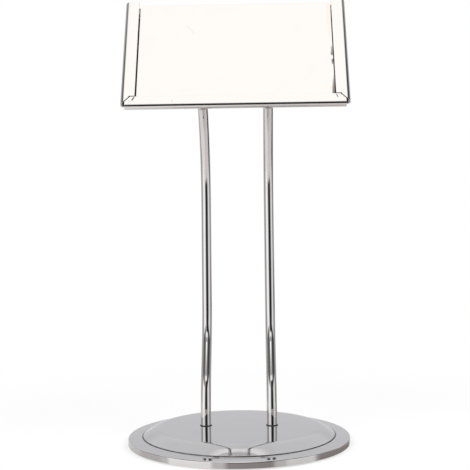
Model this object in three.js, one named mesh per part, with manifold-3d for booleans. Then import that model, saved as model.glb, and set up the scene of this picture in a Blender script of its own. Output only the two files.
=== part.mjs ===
// Table card holder: a folded sheet frame, open at the top, on two bent stems over a weighted base.
// Millimetres, +Z up. The origin is the centre of the base's underside, and the front faces -Y.
import * as THREE from 'three';
import Module from 'manifold-3d';
import { mergeVertices } from 'three/addons/utils/BufferGeometryUtils.js';

// Driving dimensions: fits
const CONTACT_GAP = 0.3;
const CUT_MARGIN = 2;

// Driving dimensions: card frame
const CARD_WIDTH = 152;
const CARD_SIDE_CLEARANCE = 1.5;
const CARD_CHANNEL = 3;
const FRAME_SHEET = 1;
const FRAME_SLOPE_HEIGHT = 85.5;
const SIDE_LIP = 7.3;
const BOTTOM_LIP = 6.2;
const FRAME_TILT = THREE.MathUtils.degToRad(22);
const FOLD_LINE_Y = -8;
const FOLD_LINE_Z = 230;

// Driving dimensions: relief at the frame's two lower corners
const SIDE_FOLD_START = 1.5;
const BOTTOM_FOLD_INSET = 3.6;
const RELIEF_HEIGHT = 8;
const RELIEF_SLOPE_WIDTH = 5.8;
const RELIEF_END_SLANT = 1.8;
const LIP_TOP_CHAMFER = 1.5;
const SHEET_CORNER_RADIUS = 1.4;

// Driving dimensions: stems, with the corners of their centre line before rounding
const STEM_DIAMETER = 7;
const STEM_SPACING = 45;
const STEM_SEAT_ABOVE_FOLD = 4.5;
const FOOT_BEND_HEIGHT = 32;
const UPRIGHT_START = { y: 25, z: 76 };
const UPRIGHT_END = { y: 31.5, z: 202.5 };
const FOOT_BEND_RADIUS = 55;
const UPRIGHT_BEND_RADIUS = 60;
const NECK_BEND_RADIUS = 95;

// Driving dimensions: base shell, pressed from sheet
const BASE_DIAMETER = 150;
const BASE_SHEET = 1;
const RIM_HEIGHT = 5;
const RIM_SHOULDER_RADIUS = 1.6;
const SKIRT_CLEARANCE = 0.6;
const DOME_DIAMETER = 129.6;
const DOME_STEP = 0.5;
const DOME_FLANK_WIDTH = 3;
const DOME_FLANK_ANGLE = THREE.MathUtils.degToRad(31.5);
const DOME_BEND_RADIUS = 17;
const DOME_CROWN_RADIUS = 2500;

// Driving dimensions: pad and foot rings
const PAD_THICKNESS = 1.5;
const PAD_MARGIN = 2;
const RING_DIAMETER = 8.4;
const RING_THICKNESS = 0.4;

// Driving dimensions: stem screws and their washers
const SCREW_DIAMETER = 4;
const SCREW_ENGAGEMENT = 9;
const SCREW_HEAD_DIAMETER = 7.6;
const SCREW_HEAD_HEIGHT = 2.2;
const SOCKET_ACROSS_FLATS = 2.5;
const SOCKET_DEPTH = 1.3;
const WASHER_DIAMETER = 9;
const WASHER_THICKNESS = 0.8;
const LOCK_WASHER_DIAMETER = 7.4;
const LOCK_WASHER_THICKNESS = 0.9;
const LOCK_WASHER_SPLIT = 0.9;
const HOLE_CLEARANCE = 0.3;
const COUNTERBORE_CLEARANCE = 0.8;
const HEAD_RECESS = 0.3;

// Facets: counts of straight steps on each kind of round form
const BASE_SEGMENTS = 64;
const DOME_STEPS = 5;
const SHOULDER_STEPS = 3;
const FOLD_STEPS = 10;
const STEM_SIDES = 14;
const STEM_STEPS = 56;
const SMALL_SEGMENTS = 24;

// Sizes that follow from the driving dimensions
const frameWidth = CARD_WIDTH + 2 * (CARD_SIDE_CLEARANCE + FRAME_SHEET);
const frameDepth = CARD_CHANNEL + 2 * FRAME_SHEET;
const foldRadius = frameDepth / 2;
const stemRadius = STEM_DIAMETER / 2;
const stemX = STEM_SPACING / 2;
const baseRadius = BASE_DIAMETER / 2;
const domeRadius = DOME_DIAMETER / 2;
const domeEdgeZ = RIM_HEIGHT + DOME_STEP;
const flankStart = domeRadius - DOME_FLANK_WIDTH;
const flankTopZ = domeEdgeZ + DOME_FLANK_WIDTH * Math.tan(DOME_FLANK_ANGLE);
const bendStart = (flankStart - DOME_BEND_RADIUS * Math.sin(DOME_FLANK_ANGLE))
  / (1 - DOME_BEND_RADIUS / DOME_CROWN_RADIUS);
const ballastBottomZ = PAD_THICKNESS + CONTACT_GAP;
const screwRadius = SCREW_DIAMETER / 2;
const clearHoleRadius = screwRadius + HOLE_CLEARANCE;
const ringRadius = RING_DIAMETER / 2;

// Stack of the stem fastening, from the screw's head up to the stem
const headZ = ballastBottomZ + HEAD_RECESS;
const lockWasherZ = headZ + SCREW_HEAD_HEIGHT + CONTACT_GAP;
const washerZ = lockWasherZ + LOCK_WASHER_THICKNESS + CONTACT_GAP;
const counterboreTopZ = washerZ + WASHER_THICKNESS + CONTACT_GAP;
const ringTopZ = domeHeight(stemX - ringRadius) + CONTACT_GAP + RING_THICKNESS;
const stemFootZ = ringTopZ + CONTACT_GAP;
const screwTipZ = stemFootZ + SCREW_ENGAGEMENT;

// The frame's own axes: X across, Y from the front of the lips to the back, Z up the slope
const framePlacement = new THREE.Matrix4()
  .makeRotationX(-FRAME_TILT)
  .setPosition(0, FOLD_LINE_Y, FOLD_LINE_Z);

const wasm = await Module();
wasm.setup();

/** Slope of the dome's outer face: a nearly flat crown, a bend that steepens outwards, a straight flank. */
function domeSlope(radius) {
  if (radius <= bendStart) {
    return Math.asin(radius / DOME_CROWN_RADIUS);
  }
  const before = Math.max(flankStart - radius, 0);
  return Math.asin(Math.sin(DOME_FLANK_ANGLE) - before / DOME_BEND_RADIUS);
}

/** Height of the dome's outer face at a distance from the base's axis. */
function domeHeight(radius) {
  if (radius >= flankStart) {
    return domeEdgeZ + (domeRadius - radius) * Math.tan(DOME_FLANK_ANGLE);
  }
  const bendSlope = domeSlope(Math.max(radius, bendStart));
  const bendRise = DOME_BEND_RADIUS * (Math.cos(bendSlope) - Math.cos(DOME_FLANK_ANGLE));
  const crownSlope = domeSlope(Math.min(radius, bendStart));
  const crownRise = DOME_CROWN_RADIUS * (Math.cos(crownSlope) - Math.cos(domeSlope(bendStart)));
  return flankTopZ + bendRise + crownRise;
}

/** Closed solid of a three.js geometry, after an optional placement. */
function solidOf(geometry, placement = new THREE.Matrix4()) {
  const bare = geometry.clone().applyMatrix4(placement);
  bare.deleteAttribute('normal');
  bare.deleteAttribute('uv');
  const merged = mergeVertices(bare, 1e-4);
  return new wasm.Manifold(new wasm.Mesh({
    numProp: 3,
    vertProperties: new Float32Array(merged.attributes.position.array),
    triVerts: new Uint32Array(merged.index.array),
  }));
}

/** Geometry of a solid. */
function geometryOf(solid) {
  const { vertProperties, triVerts } = solid.getMesh();
  const geometry = new THREE.BufferGeometry();
  geometry.setAttribute('position', new THREE.BufferAttribute(new Float32Array(vertProperties), 3));
  geometry.setIndex(new THREE.BufferAttribute(new Uint32Array(triVerts), 1));
  geometry.computeVertexNormals();
  return geometry;
}

/** Prism along X of an outline given as [y, z] points, from x0 to x1. */
function prismAlongX(outline, x0, x1) {
  const shape = new THREE.Shape(outline.map(([y, z]) => new THREE.Vector2(y, z)));
  const prism = new THREE.ExtrudeGeometry(shape, { depth: x1 - x0, bevelEnabled: false });
  // The outline's axes become Y and Z, and the extrusion runs along X
  prism.applyMatrix4(new THREE.Matrix4().makeBasis(
    new THREE.Vector3(0, 1, 0), new THREE.Vector3(0, 0, 1), new THREE.Vector3(1, 0, 0)));
  return prism.translate(x0, 0, 0);
}

/** Prism along Z of an outline given as [x, y] points, from z0 to z1. */
function prismAlongZ(outline, z0, z1) {
  const shape = new THREE.Shape(outline.map(([x, y]) => new THREE.Vector2(x, y)));
  return new THREE.ExtrudeGeometry(shape, { depth: z1 - z0, bevelEnabled: false }).translate(0, 0, z0);
}

/** Prism along Y of an outline given as [x, z] points, from y0 to y1. */
function prismAlongY(outline, y0, y1) {
  const shape = new THREE.Shape(outline.map(([x, z]) => new THREE.Vector2(x, z)));
  const prism = new THREE.ExtrudeGeometry(shape, { depth: y1 - y0, bevelEnabled: false });
  prism.applyMatrix4(new THREE.Matrix4().makeRotationX(Math.PI / 2));
  return prism.translate(0, y1, 0);
}

/** Upright cylinder from z0 to z1 on the axis at x. */
function post(radius, x, z0, z1, segments = SMALL_SEGMENTS) {
  const cylinder = new THREE.CylinderGeometry(radius, radius, z1 - z0, segments);
  return cylinder.rotateX(Math.PI / 2).translate(x, 0, (z0 + z1) / 2);
}

/** Solid of revolution about Z of [radius, z] points, listed from the top round to the underside. */
function turned(profile) {
  const upwards = profile.map(([radius, z]) => new THREE.Vector2(radius, z)).reverse();
  return new THREE.LatheGeometry(upwards, BASE_SEGMENTS).rotateX(Math.PI / 2);
}

/** Points of an arc about (cx, cy), both ends included. */
function arc(cx, cy, radius, from, to, steps) {
  return Array.from({ length: steps + 1 }, (_, i) => {
    const angle = from + (to - from) * i / steps;
    return [cx + radius * Math.cos(angle), cy + radius * Math.sin(angle)];
  });
}

/**
 * Section of one folded edge: a strip of the back sheet, the half-round fold and the lip in front.
 * The first coordinate runs inwards from the fold's outermost line, the second from front to back.
 */
function foldSection(lip) {
  const inner = foldRadius - FRAME_SHEET;
  const outside = arc(foldRadius, foldRadius, foldRadius, 1.5 * Math.PI, 0.5 * Math.PI, FOLD_STEPS);
  const inside = arc(foldRadius, foldRadius, inner, 0.5 * Math.PI, 1.5 * Math.PI, FOLD_STEPS);
  return [
    [foldRadius + lip, FRAME_SHEET],
    [foldRadius + lip, 0],
    ...outside,
    [foldRadius + CUT_MARGIN, frameDepth],
    [foldRadius + CUT_MARGIN, frameDepth - FRAME_SHEET],
    ...inside,
  ];
}

/** Back sheet between its fold lines, with its two lower corners rounded. */
function backSheet() {
  const x = frameWidth / 2 - foldRadius;
  const r = SHEET_CORNER_RADIUS;
  const outline = [
    [x, FRAME_SLOPE_HEIGHT],
    [-x, FRAME_SLOPE_HEIGHT],
    ...arc(-x + r, r, r, Math.PI, 1.5 * Math.PI, SHOULDER_STEPS),
    ...arc(x - r, r, r, 1.5 * Math.PI, 2 * Math.PI, SHOULDER_STEPS),
  ];
  return prismAlongY(outline, frameDepth - FRAME_SHEET, frameDepth);
}

/** Cutters, through the lips only, that open a lower corner on the side given by sign. */
function cornerRelief(sign) {
  const edge = frameWidth / 2;
  const lipEnd = foldRadius + SIDE_LIP;
  // Each point is [distance in from the frame's side, height above the lower fold line]
  const outline = [
    [-CUT_MARGIN, SIDE_FOLD_START - CUT_MARGIN],
    [BOTTOM_FOLD_INSET, -foldRadius],
    [lipEnd - RELIEF_END_SLANT, SIDE_FOLD_START],
    [lipEnd + RELIEF_END_SLANT, BOTTOM_LIP + CONTACT_GAP],
    [lipEnd + CONTACT_GAP, RELIEF_HEIGHT],
    [RELIEF_SLOPE_WIDTH, RELIEF_HEIGHT],
    [SIDE_FOLD_START, SIDE_FOLD_START],
  ].map(([inward, height]) => [sign * (edge - inward), height]);
  return prismAlongY(outline, -CUT_MARGIN, foldRadius);
}

/** Cutter for the slanted upper corner of a side fold on the side given by sign. */
function topChamfer(sign) {
  const edge = frameWidth / 2;
  const outline = [
    [-CUT_MARGIN, FRAME_SLOPE_HEIGHT - LIP_TOP_CHAMFER - CUT_MARGIN],
    [LIP_TOP_CHAMFER + CUT_MARGIN, FRAME_SLOPE_HEIGHT + CUT_MARGIN],
    [-CUT_MARGIN, FRAME_SLOPE_HEIGHT + CUT_MARGIN],
  ].map(([inward, height]) => [sign * (edge - inward), height]);
  return prismAlongY(outline, -CUT_MARGIN, frameDepth + CUT_MARGIN);
}

/** Card frame: one sheet folded round the card on three sides, in the frame's own axes. */
function cardFrame() {
  const side = foldSection(SIDE_LIP);
  const edge = frameWidth / 2;
  const left = prismAlongZ(side.map(([u, y]) => [u - edge, y]), SIDE_FOLD_START, FRAME_SLOPE_HEIGHT);
  const right = prismAlongZ(side.map(([u, y]) => [edge - u, y]), SIDE_FOLD_START, FRAME_SLOPE_HEIGHT);
  const bottomEnd = edge - BOTTOM_FOLD_INSET;
  const bottom = prismAlongX(
    foldSection(BOTTOM_LIP).map(([u, y]) => [y, u - foldRadius]), -bottomEnd, bottomEnd);
  let frame = solidOf(backSheet()).add(solidOf(left)).add(solidOf(right)).add(solidOf(bottom));
  for (const sign of [-1, 1]) {
    frame = frame.subtract(solidOf(cornerRelief(sign))).subtract(solidOf(topChamfer(sign)));
  }
  return geometryOf(frame);
}

/** Rounds a corner of a [y, z] path, and returns the arc's points. */
function roundedCorner(before, corner, after, wantedRadius, steps) {
  const toBefore = before.clone().sub(corner);
  const toAfter = after.clone().sub(corner);
  const room = Math.min(toBefore.length(), toAfter.length());
  const half = toBefore.angleTo(toAfter) / 2;
  const radius = Math.min(wantedRadius, room * Math.tan(half));
  const reach = radius / Math.tan(half);
  const start = corner.clone().add(toBefore.setLength(reach));
  const end = corner.clone().add(toAfter.setLength(reach));
  const inward = toBefore.clone().add(toAfter).setLength(radius / Math.sin(half));
  const centre = corner.clone().add(inward);
  const spokes = [start.sub(centre), end.sub(centre)];
  const turn = Math.atan2(spokes[0].cross(spokes[1]), spokes[0].dot(spokes[1]));
  return Array.from({ length: steps + 1 }, (_, i) =>
    spokes[0].clone().rotateAround(new THREE.Vector2(), turn * i / steps).add(centre));
}

/** Centre line of a stem at x, from its foot to just past the frame's back face. */
function stemCentreLine(x) {
  const seat = new THREE.Vector3(0, frameDepth, STEM_SEAT_ABOVE_FOLD).applyMatrix4(framePlacement);
  const corners = [
    new THREE.Vector2(0, stemFootZ),
    new THREE.Vector2(0, FOOT_BEND_HEIGHT),
    new THREE.Vector2(UPRIGHT_START.y, UPRIGHT_START.z),
    new THREE.Vector2(UPRIGHT_END.y, UPRIGHT_END.z),
    new THREE.Vector2(seat.y, seat.z),
  ];
  const radii = [FOOT_BEND_RADIUS, UPRIGHT_BEND_RADIUS, NECK_BEND_RADIUS];
  const path = [corners[0]];
  radii.forEach((radius, i) => {
    path.push(...roundedCorner(corners[i], corners[i + 1], corners[i + 2], radius, FOLD_STEPS));
  });
  const past = corners[4].clone().sub(corners[3]).setLength(STEM_DIAMETER);
  path.push(corners[4].clone().add(past));
  const line = new THREE.CurvePath();
  for (let i = 1; i < path.length; i += 1) {
    line.add(new THREE.LineCurve3(
      new THREE.Vector3(x, path[i - 1].x, path[i - 1].y), new THREE.Vector3(x, path[i].x, path[i].y)));
  }
  return line;
}

/** Stem at x: a bent round bar, cut off at the frame's back, with a blind hole for its screw. */
function stem(x) {
  const section = new THREE.Shape(
    arc(0, 0, stemRadius, 0, 2 * Math.PI, STEM_SIDES).slice(0, -1).map(([u, v]) => new THREE.Vector2(u, v)));
  const bar = new THREE.ExtrudeGeometry(section, {
    steps: STEM_STEPS, extrudePath: stemCentreLine(x), bevelEnabled: false,
  });
  // Everything in front of this plane, at a contact gap behind the back sheet, is cut away
  const cutDepth = 4 * STEM_DIAMETER;
  const inFront = new THREE.BoxGeometry(cutDepth, cutDepth, cutDepth)
    .translate(x, frameDepth + CONTACT_GAP - cutDepth / 2, STEM_SEAT_ABOVE_FOLD);
  const hole = post(clearHoleRadius, x, stemFootZ - CUT_MARGIN, screwTipZ + CONTACT_GAP);
  return geometryOf(solidOf(bar).subtract(solidOf(inFront, framePlacement)).subtract(solidOf(hole)));
}

/** Points under the dome's outer face, at an offset square to it, from the axis out to a radius on it. */
function domeLine(to, offset) {
  const bend = Array.from({ length: DOME_STEPS + 1 }, (_, i) =>
    bendStart + (flankStart - bendStart) * i / DOME_STEPS);
  return [0, bendStart / 2, ...bend, to].map((radius) => {
    const slope = domeSlope(radius);
    return [radius - offset * Math.sin(slope), domeHeight(radius) - offset * Math.cos(slope)];
  });
}

/** Base shell: a pressed dome inside a narrow flange, with a rounded shoulder and a short skirt. */
function baseShell() {
  const r = RIM_SHOULDER_RADIUS;
  const shoulderX = baseRadius - r;
  const shoulderZ = RIM_HEIGHT - r;
  const profile = [
    ...domeLine(domeRadius, 0),
    [domeRadius + DOME_STEP / 2, RIM_HEIGHT],
    ...arc(shoulderX, shoulderZ, r, 0.5 * Math.PI, 0, SHOULDER_STEPS),
    [baseRadius, SKIRT_CLEARANCE],
    [baseRadius - BASE_SHEET, SKIRT_CLEARANCE],
    ...arc(shoulderX, shoulderZ, r - BASE_SHEET, 0, 0.5 * Math.PI, SHOULDER_STEPS),
    [domeRadius + DOME_STEP / 2 - BASE_SHEET, RIM_HEIGHT - BASE_SHEET],
    ...domeLine(domeRadius, BASE_SHEET).reverse(),
  ];
  let shell = solidOf(turned(profile));
  for (const x of [-stemX, stemX]) {
    shell = shell.subtract(solidOf(post(clearHoleRadius, x, RIM_HEIGHT, domeHeight(0) + CUT_MARGIN)));
  }
  return geometryOf(shell);
}

/** Ballast: a casting that fills the shell, with a counterbored hole under each stem. */
function baseBallast() {
  const offset = BASE_SHEET + CONTACT_GAP;
  const outer = baseRadius - BASE_SHEET - CONTACT_GAP;
  const rimTop = RIM_HEIGHT - offset;
  const dome = domeLine(domeRadius - offset, offset);
  const [domeFoot] = dome.at(-1);
  const chamfer = RIM_SHOULDER_RADIUS - BASE_SHEET;
  let ballast = solidOf(turned([
    ...dome,
    [domeFoot, rimTop],
    [outer - chamfer, rimTop],
    [outer, rimTop - chamfer],
    [outer, ballastBottomZ],
    [0, ballastBottomZ],
  ]));
  for (const x of [-stemX, stemX]) {
    const hole = post(clearHoleRadius, x, ballastBottomZ - CUT_MARGIN, domeHeight(0) + CUT_MARGIN);
    const boreRadius = WASHER_DIAMETER / 2 + COUNTERBORE_CLEARANCE;
    const bore = post(boreRadius, x, ballastBottomZ - CUT_MARGIN, counterboreTopZ);
    ballast = ballast.subtract(solidOf(hole)).subtract(solidOf(bore));
  }
  return geometryOf(ballast);
}

/** Base pad: a thin round sheet that covers the screw recesses and stands on the table. */
function basePad() {
  const radius = baseRadius - BASE_SHEET - PAD_MARGIN;
  return post(radius, 0, 0, PAD_THICKNESS, BASE_SEGMENTS);
}

/** Foot ring at x: a thin washer whose underside follows the dome. */
function footRing(x) {
  const under = Math.min(ringTopZ - RING_THICKNESS, domeHeight(stemX + ringRadius));
  const ring = solidOf(post(ringRadius, x, under, ringTopZ))
    .subtract(solidOf(post(clearHoleRadius, x, under - CUT_MARGIN, ringTopZ + CUT_MARGIN)));
  const dome = turned([
    ...domeLine(domeRadius, -CONTACT_GAP),
    [domeRadius, 0],
    [0, 0],
  ]);
  return geometryOf(ring.subtract(solidOf(dome)));
}

/** Stem screw at x: a low round head with a hexagon socket, and a plain shank. */
function stemScrew(x) {
  const head = solidOf(post(SCREW_HEAD_DIAMETER / 2, x, headZ, headZ + SCREW_HEAD_HEIGHT));
  const shank = solidOf(post(screwRadius, x, headZ + SCREW_HEAD_HEIGHT / 2, screwTipZ));
  const socketRadius = SOCKET_ACROSS_FLATS / Math.sqrt(3);
  const socket = solidOf(post(socketRadius, x, headZ - CUT_MARGIN, headZ + SOCKET_DEPTH, 6));
  return geometryOf(head.add(shank).subtract(socket));
}

/** Flat ring at x between two heights. */
function washer(x, diameter, z0, thickness) {
  const ring = solidOf(post(diameter / 2, x, z0, z0 + thickness));
  return ring.subtract(solidOf(post(clearHoleRadius, x, z0 - CUT_MARGIN, z0 + thickness + CUT_MARGIN)));
}

/** Lock washer at x: a flat ring with a split. */
function lockWasher(x) {
  const ring = washer(x, LOCK_WASHER_DIAMETER, lockWasherZ, LOCK_WASHER_THICKNESS);
  const split = new THREE.BoxGeometry(LOCK_WASHER_SPLIT, LOCK_WASHER_DIAMETER, 2 * CUT_MARGIN)
    .translate(x, LOCK_WASHER_DIAMETER / 2, lockWasherZ + LOCK_WASHER_THICKNESS / 2);
  return geometryOf(ring.subtract(solidOf(split)));
}

// Materials, one for each mesh
const finishes = {
  polishedSteel: { color: 0xd6d4d2, roughness: 0.08, metalness: 1 },
  castIron: { color: 0x4a4a4c, roughness: 0.7, metalness: 0.6 },
  screwSteel: { color: 0xb9bcc0, roughness: 0.3, metalness: 1 },
  blackPlastic: { color: 0x1c1c1e, roughness: 0.5, metalness: 0 },
  padRubber: { color: 0x2a2a2c, roughness: 0.9, metalness: 0 },
};

/** Named mesh with its own material. */
function piece(name, geometry, finish) {
  const mesh = new THREE.Mesh(geometry, new THREE.MeshStandardMaterial(finish));
  mesh.name = name;
  return mesh;
}

const holder = new THREE.Group();

const frame = piece('card_frame', cardFrame(), finishes.polishedSteel);
frame.rotation.x = -FRAME_TILT;
frame.position.set(0, FOLD_LINE_Y, FOLD_LINE_Z);
holder.add(frame);

for (const [side, x] of [['left', -stemX], ['right', stemX]]) {
  holder.add(piece(`${side}_stem`, stem(x), finishes.polishedSteel));
  holder.add(piece(`${side}_foot_ring`, footRing(x), finishes.blackPlastic));
  holder.add(piece(`${side}_stem_screw`, stemScrew(x), finishes.screwSteel));
  const plain = geometryOf(washer(x, WASHER_DIAMETER, washerZ, WASHER_THICKNESS));
  holder.add(piece(`${side}_flat_washer`, plain, finishes.screwSteel));
  holder.add(piece(`${side}_lock_washer`, lockWasher(x), finishes.screwSteel));
}

holder.add(piece('base_shell', baseShell(), finishes.polishedSteel));
holder.add(piece('base_ballast', baseBallast(), finishes.castIron));
holder.add(piece('base_pad', basePad(), finishes.padRubber));

export default holder;
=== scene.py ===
"""Table card holder: a folded sheet frame on two bent stems over a weighted, domed round base.

The front faces -Y and +Z is up. Sizes in this file are in millimetres and degrees, and the helpers
turn them into Blender's metres and radians.
"""

import logging
from collections.abc import Callable, Iterator
from contextlib import contextmanager
from dataclasses import dataclass
from enum import Enum
from math import asin, atan2, cos, degrees, hypot, pi, radians, sin, tan

import bmesh
import bpy
from mathutils import Matrix, Vector


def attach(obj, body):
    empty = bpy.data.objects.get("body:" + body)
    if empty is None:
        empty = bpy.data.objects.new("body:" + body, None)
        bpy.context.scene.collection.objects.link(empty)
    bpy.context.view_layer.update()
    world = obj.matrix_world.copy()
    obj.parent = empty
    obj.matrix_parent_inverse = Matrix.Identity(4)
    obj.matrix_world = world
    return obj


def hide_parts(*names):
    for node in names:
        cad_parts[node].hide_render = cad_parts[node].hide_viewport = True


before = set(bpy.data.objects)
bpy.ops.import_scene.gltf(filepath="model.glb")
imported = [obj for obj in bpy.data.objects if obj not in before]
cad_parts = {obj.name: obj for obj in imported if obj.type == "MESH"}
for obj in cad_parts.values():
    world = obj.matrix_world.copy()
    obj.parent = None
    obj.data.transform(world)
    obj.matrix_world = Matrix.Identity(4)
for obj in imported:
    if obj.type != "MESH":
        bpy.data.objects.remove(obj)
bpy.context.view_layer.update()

log = logging.getLogger("table_card_holder")

MM = 0.001
NEAR = 0.01
HAIR = 0.001
SMOOTH_ANGLE = 32.0
BODY = "root"

Piece = bpy.types.Object
Material = bpy.types.Material
Node = bpy.types.Node
Socket = bpy.types.NodeSocket
Colour = tuple[float, float, float]
Point = tuple[float, float]
Place = tuple[float, float, float]
Test = Callable[[Vector], bool]


class Element(Enum):
    """What a selection in edit mode is made of."""

    POINTS = "VERT"
    EDGES = "EDGE"
    FACES = "FACE"


class Side(Enum):
    """The two sides of the holder, as a reader faces it."""

    LEFT = -1
    RIGHT = 1

    @property
    def label(self) -> str:
        """The side's name as it begins a node's name."""
        return self.name.lower()


# Modelling helpers


@contextmanager
def editing(piece: Piece) -> Iterator[None]:
    """Open one piece in edit mode with all of it selected, and leave edit mode at the end.

    Args:
        piece: The mesh object to edit.
    """
    only(piece)
    bpy.ops.object.mode_set(mode="EDIT")
    bpy.ops.mesh.select_mode(type=Element.POINTS.value)
    bpy.ops.mesh.select_all(action="SELECT")
    try:
        yield
    finally:
        bpy.ops.object.mode_set(mode="OBJECT")


def only(piece: Piece) -> None:
    """Select one object, make it active and deselect the rest.

    Args:
        piece: The piece.
    """
    bpy.ops.object.select_all(action="DESELECT")
    piece.select_set(True)
    bpy.context.view_layer.objects.active = piece


def named(name: str) -> Piece:
    """Give the object that was just added its name, and its mesh the same one.

    Args:
        name: The name.

    Returns:
        The object.
    """
    piece = bpy.context.active_object
    piece.name = name
    piece.data.name = name
    return piece


def select(piece: Piece, element: Element, holds: Test) -> None:
    """Select in edit mode the elements whose corners all pass a test.

    Args:
        piece: The object being edited.
        element: Whether points, edges or faces are selected.
        holds: Test of a corner's place in millimetres.
    """
    bpy.ops.mesh.select_mode(type=element.value)
    bpy.ops.mesh.select_all(action="DESELECT")
    mesh = bmesh.from_edit_mesh(piece.data)
    items = {Element.POINTS: mesh.verts, Element.EDGES: mesh.edges, Element.FACES: mesh.faces}[element]
    for item in items:
        corners = [item] if element is Element.POINTS else item.verts
        if all(holds(corner.co / MM) for corner in corners):
            item.select_set(True)
    bmesh.update_edit_mesh(piece.data)


def extrude(x: float = 0.0, y: float = 0.0, z: float = 0.0) -> None:
    """Extrude what is selected by an offset in millimetres."""
    bpy.ops.mesh.extrude_region_move(TRANSFORM_OT_translate={"value": Vector((x, y, z)) * MM})


def scale_selected(factors: Place, centre: Place) -> None:
    """Scale what is selected about a centre in millimetres."""
    bpy.ops.transform.resize(value=factors, center_override=Vector(centre) * MM)


def spin(centre: Place, axis: Place, turn: float, steps: int) -> None:
    """Sweep the selected edges round an axis, right-handed and in radians; the operator counts otherwise."""
    bpy.ops.mesh.spin(steps=steps, angle=-turn, center=Vector(centre) * MM, axis=axis)


def cut(piece: Piece, holds: Test, point: Place, normal: Place, clear: bool = True) -> None:
    """Cut the faces that pass a test with a plane, and delete those in front of it.

    The bisect operator's own clearing would also take the faces beside the chosen ones.

    Args:
        piece: The object being edited.
        holds: Test of a face corner's place in millimetres.
        point: A point on the plane, in millimetres.
        normal: Direction in which the plane faces.
        clear: Whether the faces in front of the plane are deleted.
    """
    facing = Vector(normal).normalized()
    select(piece, Element.FACES, holds)
    bpy.ops.mesh.bisect(plane_co=Vector(point) * MM, plane_no=facing)
    if clear:
        level = Vector(point).dot(facing) - HAIR
        select(piece, Element.FACES, lambda place: holds(place) and place.dot(facing) > level)
        bpy.ops.mesh.delete(type="FACE")


def tidy_mesh() -> None:
    """Merge doubled points and turn all faces outwards, in edit mode."""
    bpy.ops.mesh.select_all(action="SELECT")
    bpy.ops.mesh.remove_doubles(threshold=2 * HAIR * MM)
    bpy.ops.mesh.normals_make_consistent(inside=False)


def apply_modifier(piece: Piece, kind: str, **settings: object) -> None:
    """Add a modifier with its settings and apply it.

    Args:
        piece: The object to change.
        kind: Blender's name for the kind of modifier.
        settings: The modifier's properties by name.
    """
    only(piece)
    modifier = piece.modifiers.new(kind.title(), kind)
    for name, value in settings.items():
        setattr(modifier, name, value)
    bpy.ops.object.modifier_apply(modifier=modifier.name)


def soften(piece: Piece) -> None:
    """Shade a piece smooth, with flat faces kept flat beside narrow round ones.

    Args:
        piece: The piece.
    """
    only(piece)
    bpy.ops.object.shade_smooth_by_angle(angle=radians(SMOOTH_ANGLE))
    apply_modifier(piece, "WEIGHTED_NORMAL", mode="FACE_AREA", weight=100, keep_sharp=True)


def freeze(piece: Piece) -> None:
    """Move an object's place, turn and scale into its mesh."""
    only(piece)
    bpy.ops.object.transform_apply(location=True, rotation=True, scale=True)


def settle(piece: Piece, lean: float, offset: Place) -> None:
    """Lean a frozen piece back by degrees, move it by millimetres, and freeze it again.

    Args:
        piece: The piece.
        lean: How far it leans back, in degrees.
        offset: How far it moves, in millimetres.
    """
    piece.rotation_euler = (-radians(lean), 0, 0)
    piece.location = Vector(offset) * MM
    freeze(piece)


def open_ring(name: str, sides: int, radius: float, centre: Place) -> Piece:
    """Add a level ring of points as the start of a piece.

    Args:
        name: The piece's name.
        sides: How many segments the ring has.
        radius: The ring's radius.
        centre: The ring's centre.

    Returns:
        The piece so far.
    """
    bpy.ops.mesh.primitive_circle_add(
        vertices=sides, radius=radius * MM, fill_type="NOTHING", location=Vector(centre) * MM)
    piece = named(name)
    freeze(piece)
    return piece


def turned_piece(
    name: str, profile: list[Point], sides: int, centre: Point = (0.0, 0.0), hollow: bool = False,
) -> Piece:
    """Turn a profile about an upright axis by extruding a circle from point to point.

    Args:
        name: The piece's name.
        profile: Points as distance from the axis and height, all off the axis.
        sides: How many segments the circle has.
        centre: Where the axis stands, as x and y.
        hollow: Whether the profile closes on itself as a ring; otherwise both its ends are capped.

    Returns:
        The closed piece.
    """
    radius, height = profile[0]
    piece = open_ring(name, sides, radius, (*centre, height))
    with editing(piece):
        for next_radius, next_height in profile[1:] + (profile[:1] if hollow else []):
            extrude(z=next_height - height)
            factor = next_radius / radius
            scale_selected((factor, factor, 1), (*centre, next_height))
            radius, height = next_radius, next_height
        if not hollow:
            for end_radius, end_height in (profile[0], profile[-1]):
                cap_ring(piece, end_height, end_radius, centre)
        tidy_mesh()
    return piece


def cap_ring(piece: Piece, height: float, radius: float, centre: Point) -> None:
    """Close a level ring of points with a fan of faces.

    Args:
        piece: The object being edited.
        height: The ring's height.
        radius: The ring's radius.
        centre: The ring's axis, as x and y.
    """
    axis = Vector(centre)

    def on_ring(place: Vector) -> bool:
        """Whether a point is on the ring."""
        return abs(place.z - height) < NEAR and abs((place.xy - axis).length - radius) < 2 * NEAR

    select(piece, Element.EDGES, on_ring)
    bpy.ops.mesh.edge_face_add()
    bpy.ops.mesh.poke()


def arc(centre: Point, radius: float, start: float, end: float, steps: int) -> list[Point]:
    """Points of an arc between two angles in degrees, both ends included."""
    turns = [radians(start + (end - start) * i / steps) for i in range(steps + 1)]
    return [(centre[0] + radius * cos(a), centre[1] + radius * sin(a)) for a in turns]


# Node helpers


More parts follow.
